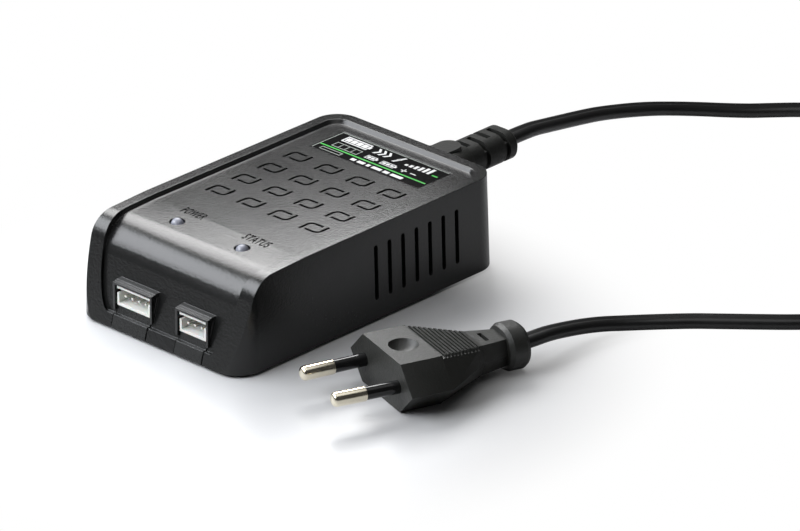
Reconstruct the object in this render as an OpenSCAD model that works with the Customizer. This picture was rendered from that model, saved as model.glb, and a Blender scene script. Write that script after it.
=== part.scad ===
// Mains charger for two and three cell lithium polymer packs.
// A moulded cover with a sunken panel and two balance sockets stands on a base tray,
// and a detachable two-core lead with a flat mains plug is pushed into its rear inlet.
// Origin: middle of the housing on the surface it stands on, sockets facing -Y.

/* [Housing] */
// Width of the cover at its lower edge
body_w = 62; // [60:0.5:66]
// Length of the cover at its lower edge
body_l = 101; // [99:0.5:106]
// Height of the cover
cover_h = 26.9; // [26:0.1:30]
// Height that the tray stands proud below the cover
foot_h = 0.8; // [0.5:0.1:1.2]
// Plan radius of the four upright corners
corner_r = 8; // [6:0.5:10]
// Inward lean of the side walls over the cover's height
draft = 0.8; // [0.4:0.1:1.2]
// Lean of the front wall from upright, in degrees
front_lean = 16.6; // [12:0.2:20]
// Radius between the front wall and the top
brow_r = 8.4; // [7:0.2:10]
// Slope of the top ahead of the slots, in degrees
brow_fall = 2.2; // [1:0.1:3]
// Place along the length where that slope starts
brow_y = -24; // [-30:1:-18]
// Side wall thickness of the cover
wall = 2; // [1.6:0.1:2.4]

/* [Sunken panel] */
// Depth of the panel below the rim
panel_d = 1.1; // [0.8:0.1:1.5]
// Thickness of the panel
panel_t = 1.9; // [1.5:0.1:2.4]
// Width of the flat rim around the panel
rim_w = 3.2; // [2.6:0.1:3.8]
// Run of the slope between the rim and the panel
rim_run = 0.9; // [0.5:0.1:1.5]
// Radius of the panel where it bends over the brow
panel_brow_r = 12; // [9:0.5:14]
// Angle by which the panel's sides draw in down the front wall
draw_in = 9.5; // [6:0.5:12]
// Height of the plain strip below the panel at the front
strip_h = 3.6; // [3:0.1:5]

/* [Slots and vents] */
// Columns and rows of paired hook slots in the panel
slot_n = 4; // [2:1:4]
// Spacing of the slot pairs across the panel
slot_px = 11.65; // [11:0.05:12]
// Spacing of the slot pairs along the panel
slot_py = 9.9; // [9:0.1:10.5]
// Place of the first row along the length
slot_y0 = -8.1; // [-10:0.1:-6]
// Width of a hook slot
slot_w = 0.7; // [0.5:0.05:0.9]
// Number of upright vents in each side wall
vent_n = 7; // [5:1:7]
// Spacing of the vents
vent_p = 5.2; // [4.8:0.1:5.4]
// Place of the first vent along the length
vent_y0 = 2; // [0:0.5:4]
// Width of a vent
vent_w = 1.35; // [1:0.05:1.8]
// Height of a vent
vent_h = 15.7; // [12:0.1:16]
// Height of the vents' lower end above the cover's lower edge
vent_z = 5.6; // [4:0.1:6]

/* [Sockets] */
// Spacing of the socket contacts
pin_p = 2.5; // [2.5:0.01:2.54]
// Height of a socket shell
socket_h = 5.75; // [5.5:0.05:6]
// Depth of a socket shell
socket_d = 9.2; // [8:0.1:11]
// Wall thickness of a socket shell
socket_wall = 0.8; // [0.6:0.05:1]
// Middle of the four-contact socket across the front
socket4_x = -10.4; // [-11:0.1:-10]
// Middle of the three-contact socket across the front
socket3_x = 11.8; // [11:0.1:12.5]

/* [Label] */
// Width of the label
label_w = 40.2; // [36:0.1:42]
// Depth of the label along the length
label_l = 13; // [11:0.1:14]
// Middle of the label along the length
label_y = 35.5; // [35:0.1:36]

/* [Lights] */
// Diameter of the indicator lamps
lamp_d = 3.6; // [3:0.2:4]
// Distance of each lamp from the middle
lamp_x = 12.1; // [11:0.1:13]
// Place of the lamps along the length
lamp_y = -29.8; // [-32:0.1:-28]

/* [Mains lead] */
// Width of the flat two-core cord
cord_w = 5.4; // [5:0.1:6]
// Thickness of the cord
cord_t = 3.3; // [3:0.1:3.6]
// Width of the plug body
plug_w = 34.6; // [33:0.1:35.3]
// Height of the plug body
plug_h = 13.7; // [13:0.1:13.7]
// Length of each plug pin beyond the face
pin_l = 19; // [19:0.1:19]
// Distance between the pins at the plug face
pin_gap_face = 18.6; // [18:0.1:19.2]
// Distance between the pins at their tips
pin_gap_tip = 17.5; // [17:0.1:18]
// Mean radius of the stowed coil
coil_r = 31; // [28:0.5:32]

/* [Hidden] */
$fn = 64;

// Levels of the housing
z_edge = foot_h;
z_top = foot_h + cover_h;
half_l = body_l / 2;
rim_half = body_w / 2 - draft - rim_w;
rim_back = half_l - draft - rim_w;
rim_corner_r = corner_r - rim_w - 0.2;
z_ledge = z_edge + strip_h;
plate_t = 1.8;
tray_rim_h = 4;
tray_rim_t = 1.4;
board_t = 1.6;
z_board = 6.8;
shell_t = panel_d + panel_t;
// The panel's slopes run on this far above the rim, and the brow's arcs stand this much
// proud, so that neighbouring surfaces cross instead of only touching
over = 0.1;
over_run = rim_run * over / panel_d;
hair = 0.003;
seam = 0.15;

// Centre of an arc that touches the front wall and the sloping top, in the Y-Z plane:
// it lies the arc's radius inside both lines
n_front = [-cos(front_lean), sin(front_lean)];
n_fall = [-sin(brow_fall), cos(brow_fall)];
function brow_centre(r) = let (a = n_front * [-half_l, z_edge] - r,
        b = n_fall * [brow_y, z_top] - r,
        det = n_front.x * n_fall.y - n_fall.x * n_front.y)
    [(a * n_fall.y - b * n_front.y) / det, (n_front.x * b - n_fall.x * a) / det];
// The rim bends by brow_r; the panel and what lies deeper share a wider bend
panel_bend = panel_brow_r + panel_d;
panel_c = brow_centre(panel_bend);
// Depth of the front wall's face at a level, a distance d inside the outer face
function front_y(z, d = 0) = -half_l + ((z - z_edge) * sin(front_lean) + d) / cos(front_lean);
// Level of the sloping top, a distance d inside the outer face
function fall_z(y, d = 0) = z_top - (brow_y - y) * tan(brow_fall) - d / cos(brow_fall);

// Screw bosses and board posts
boss_d = 6.4;
boss_z = 3.8;
boss_at = [[24, 41.4], [-24, 41.4], [24, -38.4], [-24, -38.4]];
screw_d = 2.5;
screw_l = 12;
screw_head_d = 5.2;
screw_head_t = 1.4;
well_d = 6;
well_h = 1.6;
post_d = 5;
post_pin_d = 2.4;
post_at = [[22.5, 29], [-22.5, 29], [22.5, -33], [-22.5, -33]];
board_w = 54;
board_y0 = -44.6;
board_y1 = 43;

// Lamps, seen in holes a little wider than they are
lamp_l = 5.3;
lamp_gap = 0.35;
lamp_flange_t = 1;
lamp_tip = fall_z(lamp_y, panel_d) + 0.9;

// Sockets and their hoods
socket_y = -48.2;
hood_y = -48.7;
hood_t = 1.1;
hood_side = 0.75;
hood_step = 0.18;
hood_run = 0.75;
cheek_d = 0.25;
hole_gap = 0.35;
tongue_gap = 0.25;
tongue_shift = 0.13;
tongue_y = -45.8;
socket_z = z_board;
contact_w = 0.64;
contact_z = socket_z + 2.9;
contact_in = 0.8;
function socket_width(n) = pin_p * (n - 1) + 4.9;

// Mains inlet, connector and their shared axis
inlet_z = 16.2;
inlet_w = 20.6;
inlet_h = 11.4;
inlet_y1 = half_l - 0.5;
inlet_y0 = 32;
inlet_floor = 36;
inlet_hole_w = 16.4;
inlet_hole_h = 8.6;
inlet_pin_p = 8.6;
inlet_pin_d = 2.4;
inlet_pin_y0 = 27;
nose_w = 15.7;
nose_h = 7.9;
nose_y = 36.6;
contact_d = 3.4;
contact_l = 13;
grip_y0 = 50.4;
grip_y1 = 59;
grip_w = 18.2;
grip_h = 10.8;
neck_y = 67;
neck_w = 12;
neck_h = 8.8;
relief_y = 84.5;
relief_slots = [68.2, 72.2, 76.2, 80.2];

// Plug placed on the surface, its axis from the pin side to the cord side
plug_at = [63.4, -30.5, 7.1];
plug_yaw = 71.5;
plug_tilt = 1;
plug_top_w = 21;
plug_wide_l = 12;
plug_taper_l = 27;
plug_neck_l = 35;
plug_l = 41;
plug_neck_w = 9.4;
plug_neck_h = 7.8;
sleeve_l = 9.6;
sleeve_in = 3;
sleeve_d = 3.6;
stem_d = 2.8;
stem_in = 8;
plug_pin_d = 4;
plug_waist = [plug_neck_w + 4, plug_neck_w + 0.6, plug_neck_h + 0.8];
rib_n = 11;
groove_deep = 0.55;
dimple_r = 4.8;
dimple_deep = 2.2;
neck_slot = [5, 1.3, 1.8];

// Route of the cord from the connector to the coil: laid on the surface beyond the housing
route_upper = [[0, 84.5, 16.2], [0, 90, 16.2], [-0.6, 96.5, 15.6], [-1, 101, 14.8],
    [-1.6, 109, 13.3], [-2, 117.5, 11.8], [-2, 125.5, 10.4], [-1, 135, 8.6],
    [1.4, 143.4, 7.2], [4.2, 151.8, 5.4], [7.4, 158.6, 4], [11, 164.8, 2.8],
    [15, 170.6, 2], [19.4, 176.2, 1.7], [24.4, 181.2, 1.7], [31, 186.2, 1.7],
    [40, 190.8, 1.7], [51, 194.4, 1.7], [63, 196.6, 1.7], [76, 197.4, 1.8],
    [90, 197, 2.4], [103.5, 195.3, 3.2]];
// Route of the cord from the plug to the coil
route_lower = [[76.4, 8.4, 6.4], [77, 13, 6.3], [77.2, 18, 6], [77.6, 24, 5.2],
    [78.6, 30.5, 4.3], [80.2, 36.5, 3.4], [82.8, 42.4, 2.5], [87, 49, 1.9],
    [93.6, 56.6, 1.7], [100, 62.4, 1.7], [107, 68.6, 1.7], [114, 75, 1.7],
    [120.6, 82, 1.7], [126.6, 90, 1.7], [131.6, 99, 1.7], [135.4, 109, 1.7],
    [138, 119, 1.8], [139.4, 129, 2.4], [139.9, 139, 4], [139.4, 149, 6.6],
    [137.8, 161, 8.6]];
// Places on the board
leg_p = 2.54;
choke_at = [-16, 20];
choke_lift = 0.9;
choke_r = 3.4;
choke_section = [3.6, 6];
transformer_at = [0, 4.5];
core_lift = 1;
core_plate = [20, 5, 3];
core_window = 10;
core_leg_d = 5;
bobbin_d = 6.6;
bobbin_edge = 1;

// Stowed coil and its tie
coil_at = [103.5, 161];
coil_z = 0.5;
coil_h = 2 * cord_w;
coil_t = 3.3 * cord_t;
tie_t = 0.5;
tie_w = 6;

module along_x(l) {
    rotate([90, 0, 90])
        linear_extrude(l, center = true)
            children();
}

module along_y(l) {
    rotate([90, 0, 0])
        linear_extrude(l, center = true)
            children();
}

// Flat outline with round corners
module round_rect(w, l, r) {
    square([w - 2 * r, l], center = true);
    square([w, l - 2 * r], center = true);
    for (x = [-1, 1], y = [-1, 1])
        translate([x * (w / 2 - r), y * (l / 2 - r)])
            circle(r);
}

// Flat outline with round ends, longer side across
module stadium(w, h) {
    square([w - h, h], center = true);
    for (x = [-1, 1])
        translate([x * (w - h) / 2, 0])
            circle(h / 2);
}

// Block whose walls lean inwards by lean over its height, with cone corners
module leaning_block(w, l, h, r, lean) {
    along_y(l - 2 * r)
        polygon([[-w / 2, 0], [w / 2, 0], [w / 2 - lean, h], [lean - w / 2, h]]);
    along_x(w - 2 * r)
        polygon([[-l / 2, 0], [l / 2, 0], [l / 2 - lean, h], [lean - l / 2, h]]);
    for (x = [-1, 1], y = [-1, 1])
        translate([x * (w / 2 - r), y * (l / 2 - r), 0])
            cylinder(h = h, r1 = r, r2 = r - lean);
}

// Side view of the housing, a distance d inside its outer face
module side_profile(d) {
    low = -5;
    far = half_l + 10;
    bend = d > 0 ? panel_bend : brow_r;
    centre = brow_centre(bend);
    t_front = centre + (bend - d) * n_front;
    t_fall = centre + (bend - d) * n_fall;
    polygon([[front_y(low, d), low], t_front, centre, t_fall,
        [brow_y + d * tan(brow_fall / 2), z_top - d], [far, z_top - d], [far, low]]);
    translate(centre)
        circle(bend - d + hair);
}

module housing_form(inset, d) {
    intersection() {
        translate([0, 0, z_edge - (inset > 0 ? 1 : 0)])
            leaning_block(body_w - 2 * inset, body_l - 2 * inset,
                cover_h + 2, corner_r - inset, draft * (cover_h + 2) / cover_h);
        along_x(body_w + 10)
            side_profile(d);
    }
}

// Section of the sunken panel across its width: sides that slope to just above the rim,
// then stand upright
function panel_section(base) = let (out = rim_half + over_run)
    [[rim_run - rim_half, base - panel_d], [-out, base + over], [-out, base + 3],
    [out, base + 3], [out, base + over], [rim_half - rim_run, base - panel_d]];

module panel_run(l) {
    rotate([90, 0, 0])
        linear_extrude(l)
            polygon(panel_section(0));
}

// The space above the panel, swept over the flat top, the fall, the brow and the front
module panel_recess() {
    lap = 0.4;
    back_c = rim_back - rim_corner_r;
    side_c = rim_half - rim_corner_r;
    translate([0, back_c, z_top])
        panel_run(back_c - brow_y + lap);
    translate([0, 0, z_top])
        along_x(2 * side_c)
            polygon([[back_c - 1, -panel_d], [rim_back - rim_run, -panel_d],
                [rim_back + over_run, over], [rim_back + over_run, 3], [back_c - 1, 3]]);
    for (x = [-1, 1])
        translate([x * side_c, back_c, z_top - panel_d]) {
            cylinder(h = panel_d + over, r1 = rim_corner_r - rim_run, r2 = rim_corner_r + over_run);
            translate([0, 0, panel_d + over])
                cylinder(h = 3 - over, r = rim_corner_r + over_run);
        }
    translate([0, brow_y, z_top])
        rotate([brow_fall, 0, 0])
            translate([0, lap, 0])
                panel_run(norm(panel_c + panel_bend * n_fall - [brow_y, z_top]) + 2 * lap);
    intersection() {
        union() {
            translate([0, panel_c.x, panel_c.y])
                rotate([90, 0, 90])
                    rotate([0, 0, 90 + brow_fall])
                        rotate_extrude(angle = 90 - front_lean - brow_fall)
                            polygon([for (p = panel_section(panel_bend + hair)) [p.y, p.x]]);
            translate([0, panel_c.x + panel_bend * n_front.x, panel_c.y + panel_bend * n_front.y])
                rotate([90 - front_lean, 0, 0])
                    translate([0, lap, 0])
                        panel_run(body_l / 3);
        }
        translate([0, 0, z_ledge])
            linear_extrude(cover_h)
                panel_front_plan();
    }
}

// Plan of the panel's lower part: its sides draw in and its round corners meet the ledge
module panel_front_plan() {
    r = 7;
    cross = 0.02;
    start = [rim_half + over_run + cross, panel_c.x + panel_bend * n_fall.x];
    n_side = [cos(draw_in), -sin(draw_in)];
    corner_y = front_y(z_ledge) + r;
    corner = [(n_side * start - r - n_side.y * corner_y) / n_side.x, corner_y];
    side = [[start.x, half_l], start, corner + r * n_side, corner, [corner.x, -body_l]];
    polygon(concat(side, [for (i = [len(side) - 1 : -1 : 0]) [-side[i].x, side[i].y]]));
    for (x = [-1, 1])
        translate([x * corner.x, corner.y])
            circle(r + cross);
}

// Outside of the closed housing, which the cover and the tray's tongues share
module outer_form() {
    difference() {
        housing_form(0, 0);
        panel_recess();
    }
}

// Hood over a socket: its top rises backwards in two low steps, its cheeks are hollowed
module hood(x, n) {
    w = socket_width(n) + 2 * (hole_gap + hood_side);
    h = socket_z + socket_h + seam + hood_t - z_ledge - 1;
    back = board_y0 - 0.3 - hood_y;
    translate([x, hood_y, z_ledge + 1])
        difference() {
            along_x(w)
                polygon([[0, 0], [0, h - 2 * hood_step], [hood_run, h - 2 * hood_step],
                    [hood_run, h - hood_step], [2 * hood_run, h - hood_step],
                    [2 * hood_run, h], [back, h], [back, 0]]);
            for (s = [-1, 1])
                translate([s * w / 2, 0, 0])
                    along_x(2 * cheek_d)
                        polygon([[0.6, 3], [0.6, h - hood_t], [2.3, h - hood_t], [1, 3]]);
        }
}

module socket_hole(x, n) {
    w = socket_width(n) + 2 * hole_gap;
    translate([x - w / 2, -half_l - 1, -1])
        cube([w, 14, socket_z + socket_h + seam + 1]);
}

// One hook-shaped slot: an upright leg, a round corner and a leg across
module hook_slot() {
    r = 1.5;
    leg = 2.95;
    arc = [for (a = [180 : -15 : 90]) a];
    corner = [r - leg, 1.95 - r];
    outer = [for (a = arc) corner + (r + slot_w / 2) * [cos(a), sin(a)]];
    inner = [for (i = [len(arc) - 1 : -1 : 0])
        corner + (r - slot_w / 2) * [cos(arc[i]), sin(arc[i])]];
    polygon(concat([[-leg - slot_w / 2, -2.6]], outer, [[1.5, 1.95 + slot_w / 2]],
        [[1.5, 1.95 - slot_w / 2]], inner, [[-leg + slot_w / 2, -2.6]]));
}

module slot_field() {
    for (i = [0 : slot_n - 1], j = [0 : slot_n - 1])
        translate([(i - (slot_n - 1) / 2) * slot_px, slot_y0 + j * slot_py, z_top - shell_t - 1])
            for (a = [0, 180])
                rotate([0, 0, a])
                    linear_extrude(shell_t + 1)
                        hook_slot();
}

module vent_row() {
    for (i = [0 : vent_n - 1])
        translate([0, vent_y0 + i * vent_p, z_edge + vent_z + vent_h / 2])
            rotate([0, 90, 0])
                linear_extrude(body_w + 4, center = true)
                    stadium(vent_h, vent_w);
}

module boss_columns() {
    for (p = boss_at) {
        translate([p.x, p.y, boss_z])
            cylinder(h = cover_h, d = boss_d);
        translate([p.x + sign(p.x) * 3.4, p.y, boss_z + cover_h / 2 + 2])
            cube([4, 1.6, cover_h], center = true);
    }
}

module top_cover() {
    color("#3b3c3d")
        difference() {
            union() {
                difference() {
                    outer_form();
                    housing_form(wall, shell_t);
                    vent_row();
                    slot_field();
                }
                intersection() {
                    housing_form(wall / 2, panel_d + panel_t / 2);
                    boss_columns();
                }
                hood(socket4_x, 4);
                hood(socket3_x, 3);
            }
            socket_hole(socket4_x, 4);
            socket_hole(socket3_x, 3);
            for (p = boss_at)
                translate([p.x, p.y, 0])
                    cylinder(h = boss_z + screw_l, d = screw_d);
            for (x = [-lamp_x, lamp_x])
                translate([x, lamp_y, z_top - 8])
                    cylinder(h = 10, d = lamp_d + 2 * lamp_gap);
            translate([0, half_l - 2, inlet_z])
                cube([inlet_w, 8, inlet_h], center = true);
            translate([-label_w / 2 - seam, label_y - label_l / 2 - seam, z_top - panel_d - 0.2])
                cube([label_w + 2 * seam, label_l + 2 * seam, 2]);
        }
}

// Plan that fits inside the cover's walls
module tray_plan(gap) {
    intersection() {
        round_rect(body_w - 2 * (wall + gap), body_l - 2 * (wall + gap), corner_r - wall - gap);
        translate([-body_w / 2, front_y(z_edge + tray_rim_h, shell_t + gap)])
            square([body_w, body_l]);
    }
}

module tongue(x, n) {
    w = socket_width(n) + 2 * (hole_gap - tongue_gap);
    intersection() {
        outer_form();
        translate([x - tongue_shift - w / 2, -half_l - 1, z_edge])
            cube([w, half_l + 1 + tongue_y, socket_z - 0.2 - z_edge]);
    }
}

module base_tray() {
    color("#2f3031")
        difference() {
            union() {
                linear_extrude(foot_h)
                    round_rect(body_w - 2.4, body_l - 2.4, corner_r - 1.2);
                translate([0, 0, foot_h])
                    linear_extrude(plate_t)
                        tray_plan(seam);
                difference() {
                    translate([0, 0, foot_h])
                        linear_extrude(tray_rim_h)
                            tray_plan(seam);
                    translate([0, 0, foot_h])
                        linear_extrude(tray_rim_h + 1)
                            tray_plan(seam + tray_rim_t);
                }
                for (p = boss_at)
                    translate([p.x, p.y, 0])
                        cylinder(h = boss_z, d = boss_d + 1.2);
                for (p = post_at)
                    translate([p.x, p.y, 0]) {
                        cylinder(h = z_board - board_t, d = post_d);
                        cylinder(h = z_board + 0.6, d = post_pin_d);
                    }
                tongue(socket4_x, 4);
                tongue(socket3_x, 3);
            }
            for (p = boss_at)
                translate([p.x, p.y, 0]) {
                    translate([0, 0, -1])
                        cylinder(h = boss_z + 2, d = screw_d + 0.4);
                    translate([0, 0, -1])
                        cylinder(h = well_h + 1, d = well_d);
                }
        }
}

module case_screws() {
    color("#8f9296")
        for (p = boss_at)
            translate([p.x, p.y, well_h]) {
                cylinder(h = screw_l, d = screw_d);
                difference() {
                    translate([0, 0, -screw_head_t])
                        cylinder(h = screw_head_t, d1 = screw_head_d - 1, d2 = screw_head_d);
                    for (a = [0, 90])
                        rotate([0, 0, a])
                            translate([0, 0, -screw_head_t])
                                cube([3, 0.7, 1.4], center = true);
                }
            }
}

module label_film() {
    color("#141414")
        translate([-label_w / 2, label_y - label_l / 2, z_top - panel_d - 0.2])
            cube([label_w, label_l, 0.2]);
}

// Domed lamp standing in the panel, its flange behind it
module lamp(x) {
    translate([x, lamp_y, lamp_tip - lamp_d / 2])
        sphere(d = lamp_d);
    translate([x, lamp_y, lamp_tip - lamp_l]) {
        cylinder(h = lamp_l - lamp_d / 2, d = lamp_d);
        cylinder(h = lamp_flange_t, d = lamp_d + 0.8);
    }
}

module power_lamp() {
    color("#dfe4ea")
        lamp(-lamp_x);
}

module status_lamp() {
    color("#dfe4ea")
        lamp(lamp_x);
}

module lamp_leads() {
    foot = lamp_tip - lamp_l;
    color("#b9bcc0")
        for (x = [-lamp_x, lamp_x], s = [-1, 1])
            translate([x + s * pin_p / 2, lamp_y, (z_board + foot) / 2])
                cube([0.5, 0.5, foot - z_board], center = true);
}

// Open shell with side notches, lying on the board and facing the front
module balance_socket(x, n) {
    w = socket_width(n);
    floor_t = 3.2;
    translate([x, socket_y, socket_z])
        difference() {
            translate([-w / 2, 0, 0])
                cube([w, socket_d, socket_h]);
            translate([-w / 2 + socket_wall, -1, socket_wall])
                cube([w - 2 * socket_wall, socket_d - floor_t + 1, socket_h - 2 * socket_wall]);
            translate([-w / 2 - 1, -1, socket_h - 2.1])
                cube([w + 2, 2.6, 1.2]);
            for (i = [0 : n - 1])
                translate([(i - (n - 1) / 2) * pin_p, socket_d, contact_z - socket_z])
                    cube([contact_w, 2 * floor_t + 1, contact_w], center = true);
        }
}

module balance_contacts(x, n) {
    front = socket_y + contact_in;
    back = socket_y + socket_d + 1.6;
    for (i = [0 : n - 1])
        translate([x + (i - (n - 1) / 2) * pin_p, 0, 0]) {
            translate([-contact_w / 2, front, contact_z - contact_w / 2])
                cube([contact_w, back - front, contact_w]);
            translate([-contact_w / 2, back - contact_w, z_board - board_t - 0.8])
                cube([contact_w, contact_w, contact_z - z_board + board_t + 0.8]);
        }
}

module balance_socket_4() {
    color("#dcdcd6")
        balance_socket(socket4_x, 4);
}

module balance_contacts_4() {
    color("#c9ccd0")
        balance_contacts(socket4_x, 4);
}

module balance_socket_3() {
    color("#dcdcd6")
        balance_socket(socket3_x, 3);
}

module balance_contacts_3() {
    color("#c9ccd0")
        balance_contacts(socket3_x, 3);
}

module circuit_board() {
    hole_y = socket_y + socket_d + 1.6 - contact_w / 2;
    color("#2f6b3c")
        translate([0, 0, z_board - board_t])
            difference() {
                translate([-board_w / 2, board_y0, 0])
                    cube([board_w, board_y1 - board_y0, board_t]);
                for (p = boss_at)
                    translate([p.x, p.y, -1])
                        cylinder(h = board_t + 2, d = boss_d + 1.2);
                for (p = post_at)
                    translate([p.x, p.y, -1])
                        cylinder(h = board_t + 2, d = post_pin_d + 0.2);
                for (s = [[socket4_x, 4], [socket3_x, 3]], i = [0 : s[1] - 1])
                    translate([s[0] + (i - (s[1] - 1) / 2) * pin_p, hole_y, 0])
                        cylinder(h = 4 * board_t, d = contact_w * sqrt(2) + 0.1, center = true);
            }
}

// Open-fronted inlet set in the rear wall, with a flange behind the wall
module mains_inlet() {
    flange_t = 1.4;
    color("#262728")
        translate([0, 0, inlet_z])
            difference() {
                union() {
                    translate([-inlet_w / 2, inlet_y0, -inlet_h / 2])
                        cube([inlet_w, inlet_y1 - inlet_y0, inlet_h]);
                    translate([0, half_l - wall - flange_t, 0])
                        cube([inlet_w + 3.2, flange_t, inlet_h + 2.8], center = true);
                }
                translate([0, (inlet_floor + inlet_y1 + 2) / 2, 0])
                    along_y(inlet_y1 + 2 - inlet_floor)
                        stadium(inlet_hole_w, inlet_hole_h);
                for (x = [-1, 1])
                    translate([x * inlet_pin_p / 2, inlet_y0 + 2, 0])
                        rotate([90, 0, 0])
                            cylinder(h = 12, d = inlet_pin_d, center = true);
            }
}

module inlet_pins() {
    tip_y = 47;
    color("#c4c6c9")
        for (x = [-1, 1])
            translate([x * inlet_pin_p / 2, 0, inlet_z]) {
                translate([0, inlet_pin_y0, 0])
                    rotate([-90, 0, 0])
                        cylinder(h = tip_y - inlet_pin_d / 2 - inlet_pin_y0, d = inlet_pin_d);
                translate([0, tip_y - inlet_pin_d / 2, 0])
                    sphere(d = inlet_pin_d);
            }
}

// Insulated wires from the backs of the inlet pins down to the board
module inlet_wires() {
    wire_d = 1.8;
    bend = 4;
    color("#7a3b2a")
        for (x = [-1, 1])
            translate([x * inlet_pin_p / 2, inlet_pin_y0, 0]) {
                translate([0, 0, inlet_z - bend])
                    rotate([90, 0, -90])
                        rotate_extrude(angle = 90)
                            translate([bend, 0])
                                circle(d = wire_d);
                translate([0, -bend, z_board])
                    cylinder(h = inlet_z - bend - z_board, d = wire_d);
            }
}

module line_fuse() {
    at = [-17.5, 36];
    lift = 0.6;
    color("#8a3b2b")
        translate([at.x, at.y, z_board + lift])
            cylinder(h = 8, d = 8.4);
    color("#b9bcc0")
        for (x = [-pin_p, pin_p])
            translate([at.x + x, at.y, z_board])
                cylinder(h = lift, d = 0.7);
}

module filter_choke_core() {
    color("#4d5a52")
        translate([choke_at.x, choke_at.y, z_board + choke_lift])
            rotate_extrude()
                translate([choke_r, 0])
                    square(choke_section);
}

// Two groups of turns, each turn a square loop around the ring
module filter_choke_windings() {
    turns = 6;
    turn_step = 22;
    first_turn = 35;
    wire = 0.9;
    inner = choke_section + [0.1, 0];
    color("#b5722e")
        for (s = [0, 180], i = [0 : turns - 1])
            translate([choke_at.x, choke_at.y, z_board + choke_lift + choke_section.y / 2])
                rotate([0, 0, s + first_turn + i * turn_step])
                    translate([choke_r + choke_section.x / 2, 0, 0])
                        rotate([90, 0, 0])
                            linear_extrude(0.8, center = true)
                                difference() {
                                    square(inner + 2 * [wire, wire], center = true);
                                    square(inner, center = true);
                                }
}

module filter_capacitor() {
    color("#d8b23a")
        translate([11, 31.9, z_board])
            cube([13, 6, 12]);
}

module bridge_rectifier() {
    at = [6, 24.8];
    body = [8.4, 6.4, 3.4];
    leg = [0.8, 0.4, 2.4];
    color("#1d1d1e")
        translate([at.x, at.y, z_board + 0.8])
            cube(body);
    color("#b9bcc0")
        for (x = [1.4, 6.4], y = [-leg.y, body.y])
            translate([at.x + x, at.y + y, z_board])
                cube(leg);
}

// Sleeved can with a rolled groove near its foot and a sunken lid
module capacitor_can(d, h, groove_r) {
    difference() {
        cylinder(h = h, d = d);
        translate([0, 0, 2.3 * groove_r])
            rotate_extrude()
                translate([d / 2 + 0.2, 0])
                    circle(groove_r);
        translate([0, 0, h - 0.3])
            cylinder(h = 1, d = d - 2);
    }
}

module bulk_capacitor() {
    color("#20262e")
        translate([19.4, 18, z_board])
            capacitor_can(12.5, 16, 0.7);
}

// Two facing E-shaped halves: outer legs, back plates and a round middle leg
module transformer_core() {
    leg_w = 2.5;
    color("#3c3f42")
        translate([transformer_at.x, transformer_at.y, z_board + core_lift]) {
            for (z = [0, core_plate.z + core_window])
                translate([-core_plate.x / 2, -core_plate.y / 2, z])
                    cube(core_plate);
            for (x = [-core_plate.x / 2, core_plate.x / 2 - leg_w])
                translate([x, -core_plate.y / 2, core_plate.z])
                    cube([leg_w, core_plate.y, core_window]);
            translate([0, 0, core_plate.z])
                cylinder(h = core_window, d = core_leg_d);
        }
}

module transformer_bobbin() {
    foot = [14, 3, core_lift + core_plate.z + bobbin_edge / 2];
    foot_y = 5.5;
    color("#2a2b2c")
        translate([transformer_at.x, transformer_at.y, z_board])
            difference() {
                union() {
                    translate([0, 0, core_lift + core_plate.z]) {
                        for (z = [0, core_window - bobbin_edge])
                            translate([0, 0, z])
                                cylinder(h = bobbin_edge, d = 14);
                        cylinder(h = core_window, d = bobbin_d);
                    }
                    for (y = [-foot_y - foot.y, foot_y])
                        translate([-foot.x / 2, y, 0])
                            cube(foot);
                }
                translate([0, 0, core_lift])
                    cylinder(h = 2 * core_window, d = core_leg_d);
            }
}

module transformer_winding() {
    h = core_window - 2 * bobbin_edge;
    color("#d9c34a")
        translate([transformer_at.x, transformer_at.y,
            z_board + core_lift + core_plate.z + bobbin_edge])
            difference() {
                cylinder(h = h, d = 13);
                translate([0, 0, -1])
                    cylinder(h = h + 2, d = bobbin_d);
            }
}

module safety_capacitor() {
    y = 15.6;
    lift = 1.4;
    disc_d = 8;
    color("#3a6fa8")
        translate([0, y, z_board + lift + disc_d / 2])
            rotate([90, 0, 0])
                cylinder(h = 3.4, d = disc_d, center = true);
    color("#b9bcc0")
        for (x = [-2.6, 2.6])
            translate([x, y, z_board])
                cylinder(h = lift + 1, d = 0.6);
}

module heat_sink() {
    plate = [1.6, 18, 15];
    fin_n = 4;
    fin_z = 2;
    color("#a9adb1")
        translate([-24.6, -plate.y / 2, z_board]) {
            cube(plate);
            for (i = [0 : fin_n - 1])
                translate([-plate.x, i * (plate.y - plate.x) / (fin_n - 1), fin_z])
                    cube([plate.x, plate.x, plate.z - fin_z]);
        }
}

// Flat package with its tab against the heat sink and three legs to the board
module switching_transistor() {
    x = -23;
    body = [3.8, 10, 8.6];
    tab = [0.6, body.y, body.z + 2.2];
    leg = [0.6, 0.8, 4];
    color("#1d1d1e")
        translate([x + tab.x, -body.y / 2, z_board + leg.z])
            cube(body);
    color("#b9bcc0") {
        translate([x, -tab.y / 2, z_board + leg.z])
            cube(tab);
        for (i = [-1 : 1])
            translate([x + 2.2, i * leg_p - leg.y / 2, z_board])
                cube(leg);
    }
}

module optocoupler() {
    at = [13, -3.4];
    body = [6.4, 4.6, 3.4];
    leg = [0.4, 0.8, 2.4];
    color("#e4e2da")
        translate([at.x, at.y, z_board + 0.6])
            cube(body);
    color("#b9bcc0")
        for (x = [-leg.x, body.x], y = [0.6, body.y - leg.y - 0.6])
            translate([at.x + x, at.y + y, z_board])
                cube(leg);
}

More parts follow.
